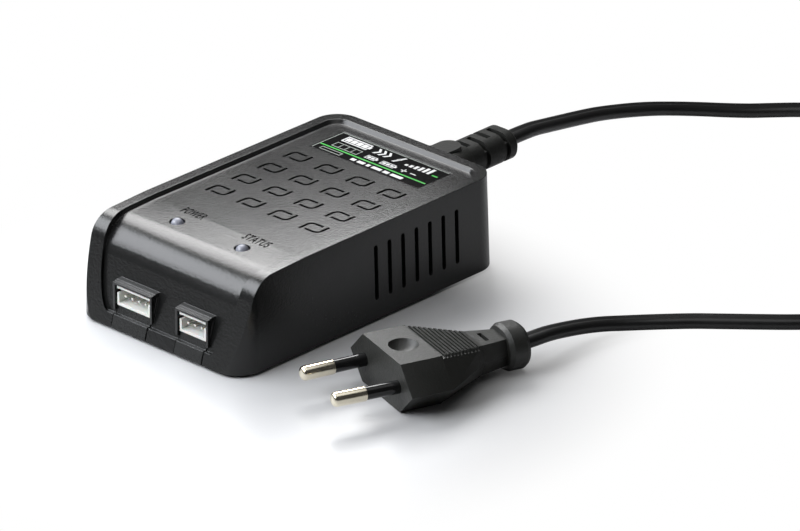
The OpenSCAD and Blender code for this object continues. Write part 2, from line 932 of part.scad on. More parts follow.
// Axial package held above the board on its bent leads
module output_diode() {
    x = 9;
    ends = [-13, -4];
    legs = [-15.4, -2];
    lift = 3.2;
    color("#202122")
        translate([x, ends[0], z_board + lift])
            rotate([-90, 0, 0])
                cylinder(h = ends[1] - ends[0], d = 5);
    color("#b9bcc0")
        for (i = [0, 1]) {
            translate([x, legs[i], z_board])
                cylinder(h = lift, d = 1);
            translate([x, min(legs[i], ends[i]), z_board + lift])
                rotate([-90, 0, 0])
                    cylinder(h = abs(legs[i] - ends[i]), d = 1);
        }
}

module output_capacitors() {
    color("#2b3f66")
        for (y = [-9.5, -19])
            translate([19.5, y, z_board])
                capacitor_can(8, 12, 0.6);
}

module charge_controller() {
    at = [-14, -23.4];
    body = [19, 6.4, 3.2];
    leg = [0.6, 0.4, 2.2];
    leg_n = 7;
    color("#1d1d1e")
        translate([at.x, at.y, z_board + 0.7])
            cube(body);
    color("#b9bcc0")
        for (i = [0 : leg_n - 1], y = [-leg.y, body.y])
            translate([at.x + (body.x - leg.x) / 2 + (i - (leg_n - 1) / 2) * leg_p, at.y + y,
                z_board])
                cube(leg);
}

module balance_resistors() {
    count = 6;
    pitch = 3.6;
    body_d = 2.4;
    color("#9cb7c9")
        for (i = [0 : count - 1])
            translate([(i - (count - 1) / 2) * pitch, -33, z_board + body_d / 2])
                rotate([90, 0, 0])
                    cylinder(h = 6.4, d = body_d, center = true);
}

// Hull of two thin stadium slices, for the connector's grip and neck
module blend(y0, w0, h0, y1, w1, h1) {
    hull() {
        translate([0, y0 + 0.05, 0])
            along_y(0.1)
                stadium(w0, h0, $fn = 40);
        translate([0, y1 - 0.05, 0])
            along_y(0.1)
                stadium(w1, h1, $fn = 40);
    }
}

// Moulded connector: a nose in the inlet, a grip with a thumb pad and a slotted relief
module cord_connector() {
    pad_r = 3.4;
    pad_l = 10;
    pad_h = 5.9;
    color("#303132")
        translate([0, 0, inlet_z])
            difference() {
                union() {
                    translate([0, (nose_y + grip_y0) / 2, 0])
                        along_y(grip_y0 - nose_y)
                            stadium(nose_w, nose_h);
                    blend(grip_y0, grip_w - 0.8, grip_h - 0.8, grip_y0 + 1.2, grip_w, grip_h);
                    translate([0, (grip_y0 + grip_y1) / 2 + 0.6, 0])
                        along_y(grip_y1 - grip_y0 - 1.2)
                            stadium(grip_w, grip_h);
                    blend(grip_y1, grip_w, grip_h, neck_y, neck_w, neck_h);
                    translate([0, (neck_y + relief_y - 1) / 2, 0])
                        along_y(relief_y - 1 - neck_y)
                            stadium(neck_w, neck_h);
                    blend(relief_y - 1, neck_w, neck_h, relief_y, neck_w - 1.6, neck_h - 1.6);
                    translate([-pad_r, grip_y0 + 2, 0])
                        cube([2 * pad_r, pad_l, pad_h]);
                    translate([0, grip_y0 + 2 + pad_l, 0])
                        cylinder(h = pad_h, r = pad_r);
                }
                for (x = [-1, 1])
                    translate([x * inlet_pin_p / 2, nose_y - 1, 0])
                        rotate([-90, 0, 0])
                            cylinder(h = contact_l + 2, d = contact_d);
                for (i = [0 : len(relief_slots) - 1])
                    relief_slot(relief_slots[i], i % 2 == 0 ? -1 : 1);
            }
}

// A slot cut from one side to just past the middle, above and below the cords
module relief_slot(y, side) {
    w = 1.7;
    reach = 1.6;
    side_cut = 1.3;
    core_t = cord_t + 0.8;
    for (z = [-1, 1])
        translate([side * (neck_w / 2 - reach) / 2, y, z * (core_t + neck_h) / 2])
            cube([neck_w / 2 + reach + 1, w, neck_h], center = true);
    translate([side * neck_w / 2, y, 0])
        cube([2 * side_cut, w, neck_h + 1], center = true);
}

module connector_contacts() {
    color("#c8a24a")
        for (x = [-1, 1])
            translate([x * inlet_pin_p / 2, nose_y + 1, inlet_z])
                rotate([-90, 0, 0])
                    difference() {
                        cylinder(h = contact_l, d = contact_d);
                        translate([0, 0, -1])
                            cylinder(h = contact_l, d = inlet_pin_d + 0.1);
                    }
}

// Sweep of an oval section through the points of a route, wide side level
function route_dir(p, i) = let (a = p[max(i - 1, 0)], b = p[min(i + 1, len(p) - 1)])
    (b - a) / norm(b - a);
function route_ring(p, i, n) = let (t = route_dir(p, i), s = [t.y, -t.x, 0] / norm([t.x, t.y]),
        u = cross(s, t))
    [for (k = [0 : n - 1]) p[i] + cord_w / 2 * cos(k * 360 / n) * s
        + cord_t / 2 * sin(k * 360 / n) * u];

module cord_tube(p) {
    n = 10;
    m = len(p);
    rings = [for (i = [0 : m - 1]) each route_ring(p, i, n)];
    sides = [for (i = [0 : m - 2], k = [0 : n - 1])
        [i * n + k, i * n + (k + 1) % n, (i + 1) * n + (k + 1) % n, (i + 1) * n + k]];
    first = [for (k = [n - 1 : -1 : 0]) k];
    last = [for (k = [0 : n - 1]) (m - 1) * n + k];
    polyhedron(rings, concat(sides, [first], [last]));
}

module cord_upper() {
    color("#1f2021")
        cord_tube(route_upper);
}

module cord_lower() {
    color("#1f2021")
        cord_tube(route_lower);
}

module cord_coil() {
    color("#1f2021")
        translate([coil_at.x, coil_at.y, coil_z])
            rotate_extrude()
                translate([coil_r - 0.5, coil_h / 2])
                    round_rect(coil_t, coil_h, 1.2);
}

// Band around all the turns of the coil
module cord_tie() {
    color("#151515")
        translate([coil_at.x - coil_r + 0.5, coil_at.y, coil_z + coil_h / 2])
            rotate([90, 0, 0])
                linear_extrude(tie_w, center = true)
                    difference() {
                        round_rect(coil_t + 2 * (tie_t + seam), coil_h + 2 * tie_t, 1.7);
                        round_rect(coil_t + 2 * seam, coil_h, 1.2);
                    }
}

// Places its children on the plug's axis, +Y from the pin side to the cord side
module on_plug() {
    translate(plug_at)
        rotate([0, 0, plug_yaw - 90])
            rotate([-plug_tilt, 0, 0])
                children();
}

// Six-sided outline of the plug across its axis
module plug_outline(w, top, h) {
    polygon([[-w / 2, 0], [-top / 2, h / 2], [top / 2, h / 2], [w / 2, 0], [top / 2, -h / 2],
        [-top / 2, -h / 2]]);
}

module plug_blend(y0, a, y1, b) {
    hull() {
        translate([0, y0 + 0.05, 0])
            along_y(0.1)
                plug_outline(a.x, a.y, a.z);
        translate([0, y1 - 0.05, 0])
            along_y(0.1)
                plug_outline(b.x, b.y, b.z);
    }
}

// Grooves across the tapering part, deeper at its wide end
module plug_grooves() {
    groove_w = 0.6;
    first_w = 1;
    step = (plug_taper_l - plug_wide_l - 1) / rib_n;
    for (i = [0 : rib_n - 1], z = [-1, 1]) {
        y = plug_wide_l + 0.8 + i * step;
        f = (y - plug_wide_l) / (plug_taper_l - plug_wide_l);
        h = plug_h + (plug_neck_h - plug_h) * f;
        translate([0, y, z * (h / 2 + 1 - groove_deep)])
            cube([plug_w, i == 0 ? first_w : groove_w, 2], center = true);
    }
}

module pin_axis(x) {
    lean = asin((pin_gap_face - pin_gap_tip) / 2 / pin_l);
    translate([x * pin_gap_face / 2, 0, 0])
        rotate([0, 0, -x * lean])
            rotate([90, 0, 0])
                children();
}

module plug_body() {
    wide = [plug_w, plug_top_w, plug_h];
    slim = [plug_neck_w, plug_neck_w - 2.4, plug_neck_h];
    color("#3a3b3c")
        on_plug()
            difference() {
                union() {
                    translate([0, plug_wide_l / 2, 0])
                        along_y(plug_wide_l)
                            plug_outline(wide.x, wide.y, wide.z);
                    plug_blend(plug_wide_l, wide, plug_taper_l, plug_waist);
                    plug_blend(plug_taper_l, plug_waist, plug_neck_l, slim);
                    translate([0, plug_neck_l, 0])
                        plug_collar();
                }
                plug_grooves();
                for (z = [-1, 1])
                    translate([0, 6.4, z * (plug_h / 2 + dimple_r - dimple_deep)])
                        sphere(dimple_r);
                translate([0, plug_taper_l + 3, plug_neck_h / 2])
                    cube(neck_slot, center = true);
                for (x = [-1, 1])
                    pin_axis(x) {
                        translate([0, 0, -stem_in])
                            cylinder(h = stem_in + 1, d = stem_d);
                        translate([0, 0, -sleeve_in])
                            cylinder(h = sleeve_in + 1, d = sleeve_d);
                    }
            }
}

// Round-edged collar at the cord end of the plug
module plug_collar() {
    l = plug_l - plug_neck_l;
    edge = 1.2;
    full = [14.2, 12.4];
    small = full - [1.4, 1.4];
    blend(0, small.x, small.y, edge, full.x, full.y);
    blend(edge, full.x, full.y, l - edge, full.x, full.y);
    blend(l - edge, full.x, full.y, l, small.x, small.y);
}

module plug_sleeves() {
    color("#161616")
        on_plug()
            for (x = [-1, 1])
                pin_axis(x)
                    translate([0, 0, -sleeve_in])
                        difference() {
                            cylinder(h = sleeve_l + sleeve_in, d = sleeve_d);
                            translate([0, 0, -1])
                                cylinder(h = sleeve_l + sleeve_in + 2, d = stem_d);
                        }
}

// Pins with a full metal tip and a slimmer stem inside the sleeve and the body
module plug_pins() {
    tip_r = 1.2;
    color("#cfd0cc")
        on_plug()
            for (x = [-1, 1])
                pin_axis(x) {
                    translate([0, 0, -stem_in])
                        cylinder(h = sleeve_l + stem_in, d = stem_d);
                    translate([0, 0, sleeve_l])
                        rotate_extrude()
                            intersection() {
                                square([plug_pin_d / 2, pin_l]);
                                union() {
                                    square([plug_pin_d / 2, pin_l - sleeve_l - tip_r]);
                                    square([plug_pin_d / 2 - tip_r, pin_l - sleeve_l]);
                                    translate([plug_pin_d / 2 - tip_r, pin_l - sleeve_l - tip_r])
                                        circle(tip_r);
                                }
                            }
                }
}

top_cover();
base_tray();
case_screws();
label_film();
power_lamp();
status_lamp();
lamp_leads();
balance_socket_4();
balance_contacts_4();
balance_socket_3();
balance_contacts_3();
circuit_board();
mains_inlet();
inlet_pins();
inlet_wires();
line_fuse();
filter_choke_core();
filter_choke_windings();
filter_capacitor();
bridge_rectifier();
bulk_capacitor();
transformer_core();
transformer_bobbin();
transformer_winding();
safety_capacitor();
heat_sink();
switching_transistor();
optocoupler();
output_diode();
output_capacitors();
charge_controller();
balance_resistors();
cord_connector();
connector_contacts();
cord_upper();
cord_lower();
cord_coil();
cord_tie();
plug_body();
plug_sleeves();
plug_pins();
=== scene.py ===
import math

import bmesh
import bpy
from mathutils import Matrix, Vector


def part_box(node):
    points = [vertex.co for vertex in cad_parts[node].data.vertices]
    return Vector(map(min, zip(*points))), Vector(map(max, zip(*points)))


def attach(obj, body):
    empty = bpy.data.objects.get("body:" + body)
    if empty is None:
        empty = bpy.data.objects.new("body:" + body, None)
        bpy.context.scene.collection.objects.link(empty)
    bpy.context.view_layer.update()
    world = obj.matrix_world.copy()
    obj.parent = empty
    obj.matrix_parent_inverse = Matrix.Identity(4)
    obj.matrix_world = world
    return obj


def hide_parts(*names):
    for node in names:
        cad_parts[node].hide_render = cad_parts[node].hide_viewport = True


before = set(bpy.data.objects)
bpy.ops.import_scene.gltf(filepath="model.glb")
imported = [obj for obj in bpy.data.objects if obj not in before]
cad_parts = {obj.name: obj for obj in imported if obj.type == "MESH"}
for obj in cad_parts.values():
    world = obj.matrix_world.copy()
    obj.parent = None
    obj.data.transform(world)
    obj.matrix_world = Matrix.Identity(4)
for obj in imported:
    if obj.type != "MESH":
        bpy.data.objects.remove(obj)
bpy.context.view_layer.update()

bl_info = {
    "name": "Battery charger looks",
    "version": (1, 0, 0),
    "blender": (4, 5, 0),
    "location": "View3D > Sidebar > Charger",
    "description": "Finishes, lead, label and stage of a small mains battery charger",
    "category": "Object",
}

MM = 0.001

# Meshes: vertices this close are one, faces that turn less than this are one flat, and edges
# that turn more than this are sharp
SAME_PLACE = 0.002 * MM
SAME_PLANE = math.radians(0.4)
SHARP = math.radians(32)
# Doubles in a mesh that Blender makes from a curve or from text
CURVE_DOUBLES = 0.001 * MM

# Shading: faces that turn less than this are one flat region, and on the cover, edges that
# turn more than this are sharp
REGION_TURN = math.radians(0.3)
COVER_SHARP = math.radians(50)
# Radii that break the edges of the small pieces
SOCKET_EDGE = 0.12 * MM
INLET_EDGE = 0.15 * MM
PIN_EDGE = 0.1 * MM
LABEL_EDGE = 0.05 * MM

# Flats that get new triangles: their least area in square metres, how far their corners may
# lie off the plane, and the share of the area that new triangles may miss
FLAT_AREA = 60e-6
FLAT_OFF = 0.001 * MM
FLAT_LOSS = 0.002
# Two planes are one if the cosine between them is over this, and their levels are this close
ALIKE_NORMAL = 0.99999
ALIKE_LEVEL = 0.01 * MM

# The label lies on the panel, whose front falls by some degrees ahead of a place
LABEL_LOW, LABEL_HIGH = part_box("label_film")
PANEL_Z = LABEL_HIGH.z
FALL = 2.2
FALL_START = -24 * MM

# Engraved legends: words, the middle of each across and along the panel, and their width, in
# millimetres
LEGENDS = (("POWER", -12.0, -23.5, 8.0), ("STATUS", 12.2, -24.2, 9.1))
# Letters: size, stroke and spacing of the font that come out at the legend's height
LETTER_SIZE = 1.4
LETTER_STROKE = 0.035
LETTER_SPACING = 1.12

# Where the panel's hook slots are, in millimetres: half the width of their field, its near
# and far end and its least height. Faces that look less far up than this are slot walls,
# which get painted shade
SLOTS_HALF = 25
SLOTS_NEAR = -20
SLOTS_FAR = 30
SLOTS_LOW = 24
SLOTS_UP = 0.97

# Print on the label, and the painted highlight along its edges: their height over the film and
# their depth in it
PRINT_OVER = 0.02 * MM
PRINT_UNDER = 0.01 * MM
# Places of its rows and its stripe along the length, widths of its lines, the gap round a
# gauge's cells, and the inset of the painted highlight lines along its edges, in millimetres
FAR_ROW = 37.4
MIDDLE_ROW = 33.6
STRIPE_ROW = 32.1
NEAR_ROW = 29.9
HEAVY_LINE = 0.8
BROAD_LINE = 0.45
THIN_LINE = 0.25
CELL_GAP = 0.3
EDGE_HIGHLIGHT_INSET = 0.3

# Route of the cord in millimetres, from the connector to the coil
ROUTE_UPPER = [
    (0, 84.5, 16.2), (0, 90, 16.2), (-0.6, 96.5, 15.6), (-1, 101, 14.8), (-1.6, 109, 13.3),
    (-2, 117.5, 11.8), (-2, 125.5, 10.4), (-1, 135, 8.6), (1.4, 143.4, 7.2), (4.2, 151.8, 5.4),
    (7.4, 158.6, 4), (11, 164.8, 2.8), (15, 170.6, 2), (19.4, 176.2, 1.7), (24.4, 181.2, 1.7),
    (31, 186.2, 1.7), (40, 190.8, 1.7), (51, 194.4, 1.7), (63, 196.6, 1.7), (76, 197.4, 1.8),
    (90, 197, 2.4),
]
# Route from the coil to the plug
ROUTE_LOWER = [
    (139.4, 149, 6.6), (139.9, 139, 4), (139.4, 129, 2.4), (138, 119, 1.8), (135.4, 109, 1.7),
    (131.6, 99, 1.7), (126.6, 90, 1.7), (120.6, 82, 1.7), (114, 75, 1.7), (107, 68.6, 1.7),
    (100, 62.4, 1.7), (93.6, 56.6, 1.7), (87, 49, 1.9), (82.8, 42.4, 2.5), (80.2, 36.5, 3.4),
    (78.6, 30.5, 4.3), (77.6, 24, 5.2), (77.2, 18, 6), (77, 13, 6.3), (76.4, 8.4, 6.4),
    (75.4, 5.4, 6.35),
]
# Length of the short pieces that the route is made of
ROUTE_STEP = 1.6
# The stowed coil: its middle, outermost radius, pitch, and the heights of its two layers
COIL_AT = (103.5, 161)
COIL_OUTER = 34.3
COIL_PITCH = 3.8
COIL_LOW = 3.2
COIL_HIGH = 8.6
# Its turns, the part of a turn that climbs to the upper layer, and the points in a turn
COIL_TURNS = 4.25
COIL_CLIMB = 0.25
COIL_POINTS = 24
# The flat cord lies flat up to this height, and stands on edge once it has risen by so much
# more, but only this near the coil's middle
FLAT_BELOW = 1.9
EDGE_RISE = 1.2
EDGE_REACH = COIL_OUTER + 20
# Each lobe of the cord is round for this many degrees on either side of its outermost point
LOBE_REACH = 122
LOBE_POINTS = 13

# Plastic: noise scale of the coarse spark texture and of the wide patches, and how far pits
# and patches move the roughness
SPARK_GRAIN = 1400.0
PATCH_GRAIN = 45.0
PIT_GLOSS = 0.10
PATCH_GLOSS = 0.08
# Metal: how far its streaks move its roughness
STREAK_GLOSS = 0.14
# Depths of relief in metres: barely felt, and on the mouldings of the lead
FAINT = 0.000003
MOULDED = 0.0001

# Camera: its place in metres, its direction and roll in degrees, and its lens and sensor in
# millimetres
CAMERA_AT = (1.27454, -1.29233, 0.85903)
CAMERA_TURN = (43.664, 25.147, -0.132)
CAMERA_LENS = 336.51
CAMERA_SENSOR = 36.0
# Soft lamps in metres: the place of each, the point that it faces, its width and depth, and
# its colour
LAMPS = {
    "key": ((-0.13, 0.073, 0.185), (0.0, 0.0, 0.02), (0.195, 0.117), (1.0, 1.0, 1.0)),
    "side": ((-0.13, -0.195, 0.203), (0.0, 0.0, 0.02), (0.45, 0.152), (0.93, 0.96, 1.0)),
    "top": ((0.10, -0.02, 0.60), (0.04, 0.0, 0.0), (0.5, 0.5), (1.0, 1.0, 1.0)),
}
# The floor turns to a white backdrop between two distances from the middle of the shadow,
# further out in reflections than in the picture
FLOOR_HALF = 4.0
SHADOW_AT = (0.025, -0.035, 0.0)
WHITE_SEEN = (0.058, 0.11)
WHITE_MIRRORED = (0.4, 1.0)


class Wire:
    """A shader socket. Arithmetic on it adds Math nodes to its tree."""

    def __init__(self, tree, socket=None):
        self.tree = tree
        self.socket = socket

    def plug_into(self, socket, value):
        """Links a wire to a socket, or sets the socket to a number or colour."""
        if isinstance(value, Wire):
            self.tree.links.new(value.socket, socket)
        else:
            socket.default_value = value

    def node(self, kind, settings, values, output=0):
        """A node with its settings made first, then its sockets set or linked."""
        made = self.tree.nodes.new(kind)
        for name, value in settings.items():
            setattr(made, name, value)
        for name, value in values.items():
            self.plug_into(made.inputs[name], value)
        return Wire(self.tree, made.outputs[output])

    def math(self, operation, *values):
        """A Math node on these values."""
        return self.node("ShaderNodeMath", {"operation": operation}, dict(enumerate(values)))

    def __add__(self, other):
        return self.math("ADD", self, other)

    def __sub__(self, other):
        return self.math("SUBTRACT", self, other)

    def __rsub__(self, other):
        return self.math("SUBTRACT", other, self)

    def __mul__(self, other):
        return self.math("MULTIPLY", self, other)

    __radd__ = __add__
    __rmul__ = __mul__

    def noise(self, scale, detail=2.0, roughness=0.5):
        """Smooth noise over this vector, from 0 to 1."""
        return self.node("ShaderNodeTexNoise", {},
                         {"Vector": self, "Scale": scale, "Detail": detail,
                          "Roughness": roughness})

    def fine_noise(self, scale):
        """Noise with more small detail, for pits and streaks."""
        return self.noise(scale, 3.0, 0.6)

    def blend(self, first, second):
        """A colour between two, this value saying how far."""
        return self.node("ShaderNodeMix", {"data_type": "RGBA"},
                         {0: self, 6: first, 7: second}, 2)

    def ray(self, *kinds):
        """1 where any of these kinds of ray looks, or else 0."""
        seen = self.node("ShaderNodeLightPath", {}, {}, kinds[0])
        for kind in kinds[1:]:
            seen = self.math("MAXIMUM", seen, self.node("ShaderNodeLightPath", {}, {}, kind))
        return seen

    def steps(self, low, high):
        """0 below low and 1 above high, smooth between."""
        return self.node("ShaderNodeMapRange", {"interpolation_type": "SMOOTHSTEP"},
                         {0: self, 1: low, 2: high, 3: 0.0, 4: 1.0})


class Finish:
    """A material with one Principled shader, whose sockets take numbers or wires."""

    def __init__(self, name, **constants):
        self.material = bpy.data.materials.new(name)
        self.material.use_nodes = True
        self.tree = self.material.node_tree
        self.shader = self.tree.nodes["Principled BSDF"]
        self.start = Wire(self.tree)
        for socket, value in constants.items():
            self.shader.inputs[socket.replace("_", " ")].default_value = value

    def place(self):
        """Object coordinates."""
        return self.start.node("ShaderNodeTexCoord", {}, {}, "Object")

    def set(self, socket, value):
        """Sets or links one socket of the shader."""
        self.start.plug_into(self.shader.inputs[socket], value)

    def bump(self, height, depth):
        """Relief of this depth in metres."""
        self.set("Normal", self.start.node("ShaderNodeBump", {},
                                           {"Height": height, "Distance": depth,
                                            "Strength": 1.0}))


def shade(colour, factor):
    """A colour made lighter or darker, and opaque."""
    return tuple(min(1.0, c * factor) for c in colour[:3]) + (1.0,)


def moulded_finish(name, colour, roughness, grain=2200.0, depth=0.000022, spread=0.16,
                   **constants):
    """Moulded plastic: a fine spark texture, with tone and gloss that wander a little."""
    finish = Finish(name, **constants)
    place = finish.place()
    pits = place.fine_noise(grain)
    patches = place.noise(PATCH_GRAIN)
    finish.set("Base Color", (patches * 0.6 + pits * 0.4).blend(
        shade(colour, 1 - spread), shade(colour, 1 + spread)))
    finish.set("Roughness",
               (pits - 0.5) * PIT_GLOSS + (patches - 0.5) * PATCH_GLOSS + roughness)
    finish.bump(pits, depth)
    return finish.material


def metal_finish(name, colour, roughness, grain=900.0, stretch=(1.0, 1.0, 1.0)):
    """Plated or drawn metal: faint streaks in tone and gloss."""
    finish = Finish(name, Metallic=1.0)
    along = finish.start.node("ShaderNodeMapping", {},
                              {"Vector": finish.place(), "Scale": stretch})
    streaks = along.fine_noise(grain)
    finish.set("Base Color", streaks.blend(shade(colour, 0.85), shade(colour, 1.08)))
    finish.set("Roughness", (streaks - 0.5) * STREAK_GLOSS + roughness)
    finish.bump(streaks, FAINT)
    return finish.material


def joined_faces(node):
    """A CAD node's mesh in a bmesh, its doubles merged and its flat neighbours joined."""
    bm = bmesh.new()
    bm.from_mesh(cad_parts[node].data)
    bmesh.ops.remove_doubles(bm, verts=bm.verts, dist=SAME_PLACE)
    bmesh.ops.dissolve_limit(bm, angle_limit=SAME_PLANE, use_dissolve_boundaries=False,
                             verts=bm.verts, edges=bm.edges)
    return bm


def finished_object(name, bm, body, material, replaced=()):
    """An object from a bmesh, smooth but for its sharp edges, riding on a body."""
    mesh = bpy.data.meshes.new(name)
    bm.to_mesh(mesh)
    bm.free()
    mark_edges(mesh)
    piece = bpy.data.objects.new(name, mesh)
    bpy.context.scene.collection.objects.link(piece)
    mesh.materials.clear()
    mesh.materials.append(material)
    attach(piece, body)
    if replaced:
        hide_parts(*replaced)
    return piece


def break_edges(piece, width):
    """Rounds a piece's sharp edges."""
    bevel = piece.modifiers.new("Edge radius", "BEVEL")
    bevel.width = width
    bevel.segments = 2
    bevel.limit_method = "ANGLE"
    bevel.angle_limit = SHARP
    bevel.use_clamp_overlap = False
    bevel.harden_normals = True


def mark_edges(mesh, angle=SHARP):
    """Makes a mesh smooth but for the edges that turn by more than an angle."""
    for extra in [a.name for a in mesh.attributes if a.name in ("custom_normal", "COLOR_0")]:
        mesh.attributes.remove(mesh.attributes[extra])
    bm = bmesh.new()
    bm.from_mesh(mesh)
    for face in bm.faces:
        face.smooth = True
    for edge in bm.edges:
        edge.smooth = edge.calc_face_angle(0.0) < angle
    bm.to_mesh(mesh)
    bm.free()


def flat_regions(bm):
    """The number of the flat region that each face belongs to, and the area of each region."""
    region, areas = {}, []
    for first in bm.faces:
        if first in region:
            continue
        region[first] = len(areas)
        areas.append(0.0)
        waiting = [first]
        while waiting:
            face = waiting.pop()
            areas[-1] += face.calc_area()
            for edge in face.edges:
                for other in edge.link_faces:
                    if other not in region and edge.calc_face_angle(math.pi) < REGION_TURN:
                        region[other] = region[first]
                        waiting.append(other)
    return region, areas


def even_shading(mesh):
    """Lets the larger flat regions lead the corner normals, so that flats look flat."""
    bm = bmesh.new()
    bm.from_mesh(mesh)
    region, areas = flat_regions(bm)
    normals = []
    for face in bm.faces:
        for loop in face.loops:
            fan, waiting = {face}, [face]
            while waiting:
                for edge in waiting.pop().edges:
                    if loop.vert in edge.verts and edge.smooth:
                        for other in edge.link_faces:
                            if other not in fan:
                                fan.add(other)
                                waiting.append(other)
            led = {region[f]: f.normal for f in fan}
            total = Vector()
            for index, normal in led.items():
                total += normal * areas[index]
            normals.append(total.normalized())
    bm.free()
    mesh.normals_split_custom_set(normals)


def settle(piece):
    """Applies a piece's modifiers."""
    evaluated = piece.evaluated_get(bpy.context.evaluated_depsgraph_get())
    mesh = bpy.data.meshes.new_from_object(evaluated)
    mesh.name = piece.name
    piece.modifiers.clear()
    piece.data = mesh
    return piece


def refill_flat(bm, origin, normal):
    """Fills the faces in a plane anew between their outlines. True if all of it is filled."""
    flat = {f for f in bm.faces
            if all(abs((v.co - origin).dot(normal)) < FLAT_OFF for v in f.verts)}
    inner = {e for f in flat for e in f.edges if all(other in flat for other in e.link_faces)}
    joined = {f for e in inner for f in e.link_faces}
    outline = {e for f in joined for e in f.edges} - inner
    area = sum(math.copysign(f.calc_area(), f.normal.dot(normal)) for f in joined)
    bmesh.ops.delete(bm, geom=list(inner), context="EDGES_FACES")
    filled = bmesh.ops.triangle_fill(bm, use_beauty=True, edges=list(outline), normal=normal)
    made = [item for item in filled["geom"] if isinstance(item, bmesh.types.BMFace)]
    for face in made:
        if face.normal.dot(normal) < 0:
            face.normal_flip()
    return abs(sum(face.calc_area() for face in made) - area) < FLAT_LOSS * area


def refill_flats(mesh):
    """Gives each large flat new triangles, which lie side by side.

    Rounding the edges of many slots at once can leave a face between them folded.
    """
    bm = bmesh.new()
    bm.from_mesh(mesh)
    planes = []
    for face in bm.faces:
        origin, normal = face.verts[0].co.copy(), face.normal.copy()
        if face.calc_area() > FLAT_AREA and not any(
                normal.dot(n) > ALIKE_NORMAL and abs((origin - o).dot(n)) < ALIKE_LEVEL
                for o, n in planes):
            planes.append((origin, normal))
    for origin, normal in planes:
        trial = bm.copy()
        if refill_flat(trial, origin, normal):
            bm, trial = trial, bm
        trial.free()
    bm.to_mesh(mesh)
    bm.free()


def dressed_copy(name, node, body, material, width=0.0):
    """A CAD node's shape in that node's place, its edges rounded if a width is given."""
    piece = finished_object(name, joined_faces(node), body, material, (node,))
    if width:
        break_edges(piece, width)
    return piece


def dress(nodes, material):
    """Gives CAD nodes that stay as they are their finish."""
    for node in nodes:
        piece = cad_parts[node]
        piece.data.materials.clear()
        piece.data.materials.append(material)


class HousingLooks(bpy.types.PropertyGroup):
    """Finish of the cover and the tray"""
    colour: bpy.props.FloatVectorProperty(
        name="Plastic", description="Colour of the moulded plastic", subtype="COLOR",
        default=(0.008, 0.0082, 0.008), min=0.0, max=1.0)
    gloss: bpy.props.FloatProperty(
        name="Roughness", description="Roughness of the moulded plastic", subtype="FACTOR",
        default=0.24, min=0.0, max=1.0)
    edge: bpy.props.FloatProperty(
        name="Edge radius", description="Radius that breaks the cover's and the tray's edges",
        default=0.12 * MM, unit="LENGTH")
    legend_height: bpy.props.FloatProperty(
        name="Legend height", description="Height of the engraved letters",
        default=3.5 * MM, unit="LENGTH")
    legend_depth: bpy.props.FloatProperty(
        name="Legend depth", description="Depth of the engraved letters",
        default=0.35 * MM, unit="LENGTH")


class LabelLooks(bpy.types.PropertyGroup):
    """Colours of the label"""
    field: bpy.props.FloatVectorProperty(
        name="Field", description="Colour of the label's field", subtype="COLOR",
        default=(0.005, 0.005, 0.005), min=0.0, max=1.0)
    stripe: bpy.props.FloatVectorProperty(
        name="Stripe", description="Colour of the stripe", subtype="COLOR",
        default=(0.012, 0.30, 0.02), min=0.0, max=1.0)
    print: bpy.props.FloatVectorProperty(
        name="Print", description="Colour of the pictograms", subtype="COLOR",
        default=(0.5, 0.5, 0.5), min=0.0, max=1.0)
    # The outlines' colour is also that of the painted highlight along the label's far and left
    # edge
    outline: bpy.props.FloatVectorProperty(
        name="Outlines and edge highlight", description="Colour of the thin outlines", subtype="COLOR",
        default=(0.22, 0.24, 0.22), min=0.0, max=1.0)


class LeadLooks(bpy.types.PropertyGroup):
    """Sizes and colours of the mains lead"""
    width: bpy.props.FloatProperty(
        name="Cord width", description="Width of the flat cord", default=5.4 * MM,
        unit="LENGTH")
    thickness: bpy.props.FloatProperty(
        name="Cord thickness", description="Thickness of the flat cord", default=3.3 * MM,
        unit="LENGTH")
    sheath: bpy.props.FloatVectorProperty(
        name="Sheath", description="Colour of the cord", subtype="COLOR",
        default=(0.008, 0.008, 0.008), min=0.0, max=1.0)
    moulding: bpy.props.FloatVectorProperty(
        name="Mouldings", description="Colour of the plug and the connector", subtype="COLOR",
        default=(0.017, 0.0175, 0.0155), min=0.0, max=1.0)


class StageLooks(bpy.types.PropertyGroup):
    """Camera, lamps and floor"""
    key: bpy.props.FloatProperty(
        name="Key lamp", description="Power of the lamp over the left side's far end",
        default=0.72, unit="POWER")
    side: bpy.props.FloatProperty(
        name="Side lamp", description="Power of the lamp over the left side's near end",
        default=1.9, unit="POWER")
    top: bpy.props.FloatProperty(
        name="Top lamp", description="Power of the broad lamp overhead", default=0.9,
        unit="POWER")
    room: bpy.props.FloatProperty(
        name="Surroundings", description="Brightness of the room", default=0.05)
    floor_colour: bpy.props.FloatVectorProperty(
        name="Floor", description="Colour of the floor", subtype="COLOR",
        default=(0.54, 0.54, 0.545), min=0.0, max=1.0)


class ChargerLooks(bpy.types.PropertyGroup):
    """All settings of the charger"""
    housing: bpy.props.PointerProperty(type=HousingLooks)
    label: bpy.props.PointerProperty(type=LabelLooks)
    lead: bpy.props.PointerProperty(type=LeadLooks)
    stage: bpy.props.PointerProperty(type=StageLooks)


def looks():
    """The scene's settings of the charger."""
    return bpy.context.scene.charger


def smooth_path(points, step):
    """Points of one smooth curve through the given ones, about a step apart."""
    dense = []
    for i in range(len(points) - 1):
        p = [Vector(points[max(0, min(len(points) - 1, i + k))]) for k in (-1, 0, 1, 2)]
        count = max(2, round((p[2] - p[1]).length / step))
        for j in range(count):
            t = j / count
            dense.append(0.5 * (2 * p[1] + (p[2] - p[0]) * t
                                + (2 * p[0] - 5 * p[1] + 4 * p[2] - p[3]) * t * t
                                + (3 * p[1] - p[0] - 3 * p[2] + p[3]) * t ** 3))
    dense.append(Vector(points[-1]))
    return dense


